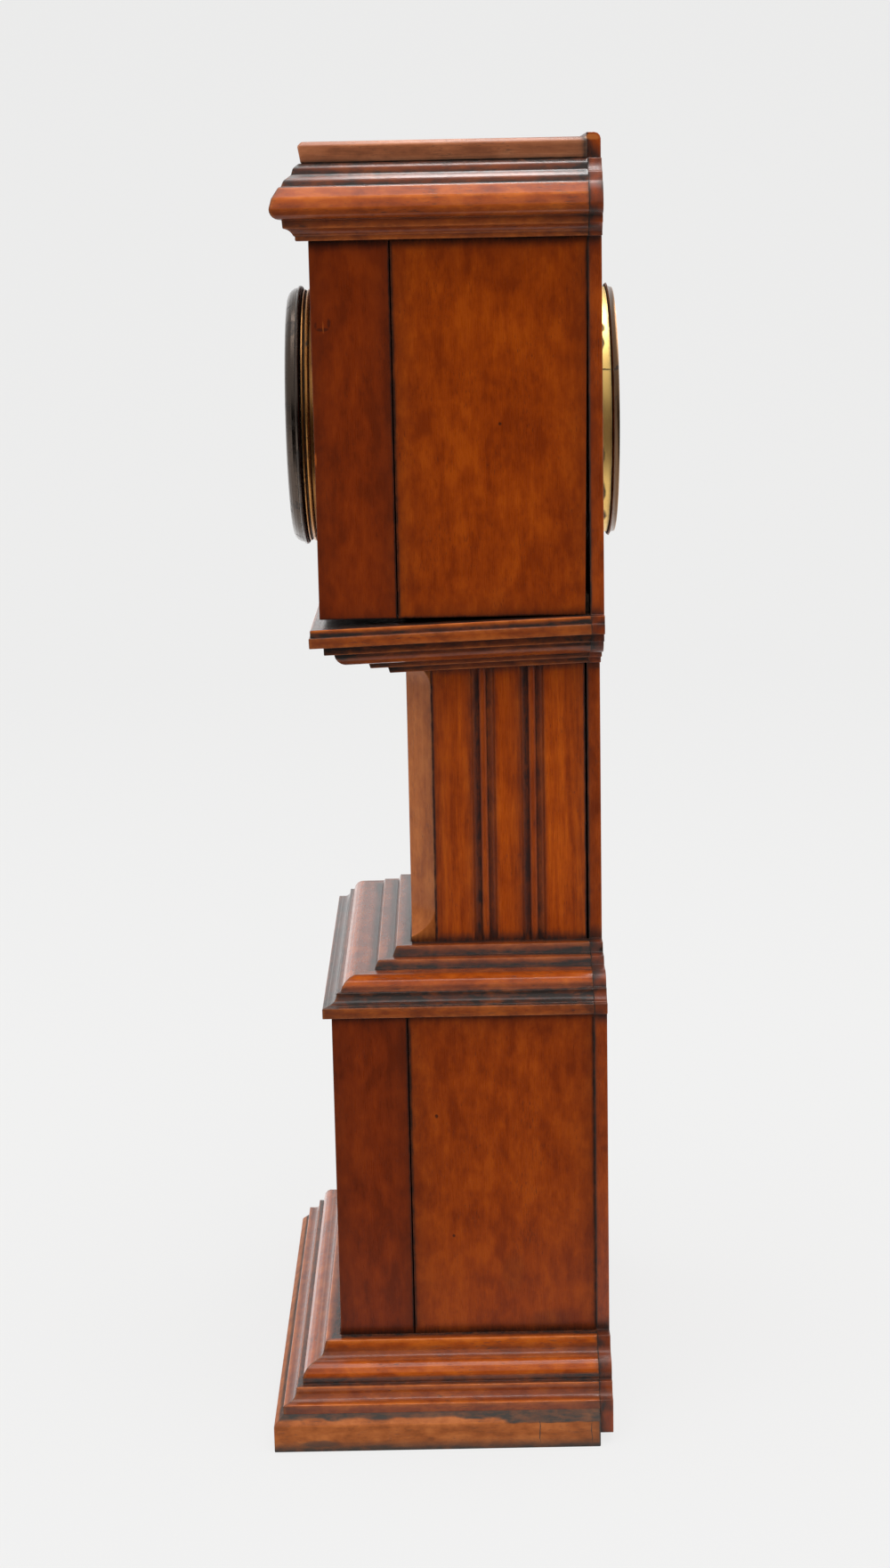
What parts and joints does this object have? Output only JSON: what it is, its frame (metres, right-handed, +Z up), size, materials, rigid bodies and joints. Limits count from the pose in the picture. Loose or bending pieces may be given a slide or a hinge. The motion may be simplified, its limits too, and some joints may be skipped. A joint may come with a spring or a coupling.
{
  "type": "longcase clock",
  "caption": "Small wooden longcase clock: stepped base, narrow waist, moulded hood, hinged glazed bezel and a spring-driven drum movement with pendulum.",
  "frame": {"origin": "middle of the underside of the plinth board, leaving the back board out", "axes": "+Z up, the dial faces -Y, +X is to the right of someone who faces the dial"},
  "size_m": [0.21, 0.1358, 0.48],
  "materials": {
    "walnut": "red-brown walnut, worn satin french polish",
    "walnut_dark": "darker red-brown block, french polished",
    "walnut_dull": "dull unpolished or dusty board",
    "gilt_brass": "polished lacquered brass",
    "bezel_bronze": "dark bronzed brass",
    "steel": "polished steel",
    "blued_steel": "blued steel",
    "enamel": "white fired enamel",
    "clear_glass": "clear domed glass"
  },
  "bodies": {
    "case": {"plinth_board": "walnut_dull", "base_moulding_front": "walnut", "base_moulding_left": "walnut", "base_moulding_right": "walnut", "base_front": "walnut_dark", "base_side_left": "walnut", "base_side_right": "walnut", "base_top": "walnut_dull", "step_moulding_front": "walnut", "step_moulding_left": "walnut", "step_moulding_right": "walnut", "waist_front": "walnut", "waist_side_left": "walnut", "waist_side_right": "walnut", "shelf_moulding_front": "walnut", "shelf_moulding_left": "walnut", "shelf_moulding_right": "walnut", "hood_floor": "walnut_dull", "hood_front": "walnut_dark", "hood_side_left": "walnut", "hood_side_right": "walnut", "hood_ceiling": "walnut_dull", "cornice_front": "walnut", "cornice_left": "walnut", "cornice_right": "walnut", "top_board": "walnut_dull", "back_board": "walnut", "front_seat": "gilt_brass", "dial": "enamel", "dial_plate": "gilt_brass", "rear_seat": "gilt_brass", "hinge_pins": "steel", "clamp_straps": "gilt_brass", "clamp_screws": "steel", "front_plate": "gilt_brass", "back_plate": "gilt_brass", "pillars": "gilt_brass", "suspension_cock": "gilt_brass"},
    "glazed_bezel": {"front_bezel": "bezel_bronze", "glass": "clear_glass"},
    "rear_cover": {"rear_door": "bezel_bronze"},
    "centre_arbor": {"centre_wheel": "gilt_brass", "cannon_pinion": "steel", "minute_hand": "blued_steel"},
    "hour_pipe": {"hour_wheel": "gilt_brass", "hour_hand": "blued_steel"},
    "motion_arbor": {"minute_wheel": "gilt_brass"},
    "inter_arbor": {"inter_wheel": "gilt_brass"},
    "barrel_drum": {"barrel": "gilt_brass"},
    "third_arbor": {"third_wheel": "gilt_brass"},
    "escape_arbor": {"escape_wheel": "gilt_brass"},
    "winding_square": {"winding_arbor": "steel", "ratchet_wheel": "steel"},
    "click_pawl": {"click": "steel"},
    "anchor_arbor": {"anchor": "steel"},
    "pendulum": {"suspension_spring": "steel", "pendulum_rod": "steel", "pendulum_bob": "gilt_brass", "rating_nut": "gilt_brass"}
  },
  "joints": [
    {"name": "bezel_swing", "type": "hinge", "parent": "case", "child": "glazed_bezel", "pos_m": [-0.0507, -0.0426, 0.3788], "axis": [0, 0, -1], "range_deg": [0, 110]},
    {"name": "rear_cover_swing", "type": "hinge", "parent": "case", "child": "rear_cover", "pos_m": [-0.0496, 0.0717, 0.3788], "axis": [0, 0, 1], "range_deg": [0, 110]},
    {"name": "minute_hand_turn", "type": "hinge", "parent": "case", "child": "centre_arbor", "pos_m": [0, -0.02425, 0.3788], "axis": [0, 1, 0], "continuous": true},
    {"name": "hour_hand_turn", "type": "hinge", "parent": "case", "child": "hour_pipe", "pos_m": [0, -0.03325, 0.3788], "axis": [0, 1, 0], "continuous": true},
    {"name": "minute_wheel_turn", "type": "hinge", "parent": "case", "child": "motion_arbor", "pos_m": [-0.00902, -0.02925, 0.38208], "axis": [0, 1, 0], "continuous": true},
    {"name": "intermediate_turn", "type": "hinge", "parent": "case", "child": "inter_arbor", "pos_m": [-0.01399, -0.01225, 0.3695], "axis": [0, 1, 0], "continuous": true},
    {"name": "barrel_turn", "type": "hinge", "parent": "case", "child": "barrel_drum", "pos_m": [0, -0.01225, 0.3568], "axis": [0, 1, 0], "continuous": true},
    {"name": "third_turn", "type": "hinge", "parent": "case", "child": "third_arbor", "pos_m": [0.01166, -0.01225, 0.39046], "axis": [0, 1, 0], "continuous": true},
    {"name": "escape_turn", "type": "hinge", "parent": "case", "child": "escape_arbor", "pos_m": [0, -0.01225, 0.39632], "axis": [0, 1, 0], "continuous": true},
    {"name": "winding_turn", "type": "hinge", "parent": "case", "child": "winding_square", "pos_m": [0, -0.01625, 0.3568], "axis": [0, 1, 0], "continuous": true},
    {"name": "click_lift", "type": "hinge", "parent": "case", "child": "click_pawl", "pos_m": [-0.0095, -0.02925, 0.3513], "axis": [0, -1, 0], "range_deg": [0, 12]},
    {"name": "pendulum_swing", "type": "hinge", "parent": "case", "child": "pendulum", "pos_m": [0, 0.01135, 0.40615], "axis": [0, 1, 0], "range_deg": [-3, 3]},
    {"name": "anchor_rock", "type": "hinge", "parent": "case", "child": "anchor_arbor", "pos_m": [0, 0.00375, 0.40615], "axis": [0, 1, 0], "range_deg": [-3, 3]}
  ],
  "couplings": [
    {"joint": "hour_hand_turn", "follows": "minute_hand_turn", "ratio": 0.083333},
    {"joint": "minute_wheel_turn", "follows": "minute_hand_turn", "ratio": -0.33333},
    {"joint": "intermediate_turn", "follows": "minute_hand_turn", "ratio": -0.16667},
    {"joint": "barrel_turn", "follows": "minute_hand_turn", "ratio": 0.020833},
    {"joint": "third_turn", "follows": "minute_hand_turn", "ratio": -12.857},
    {"joint": "escape_turn", "follows": "minute_hand_turn", "ratio": 173.57},
    {"joint": "anchor_rock", "follows": "pendulum_swing", "ratio": 1}
  ]
}
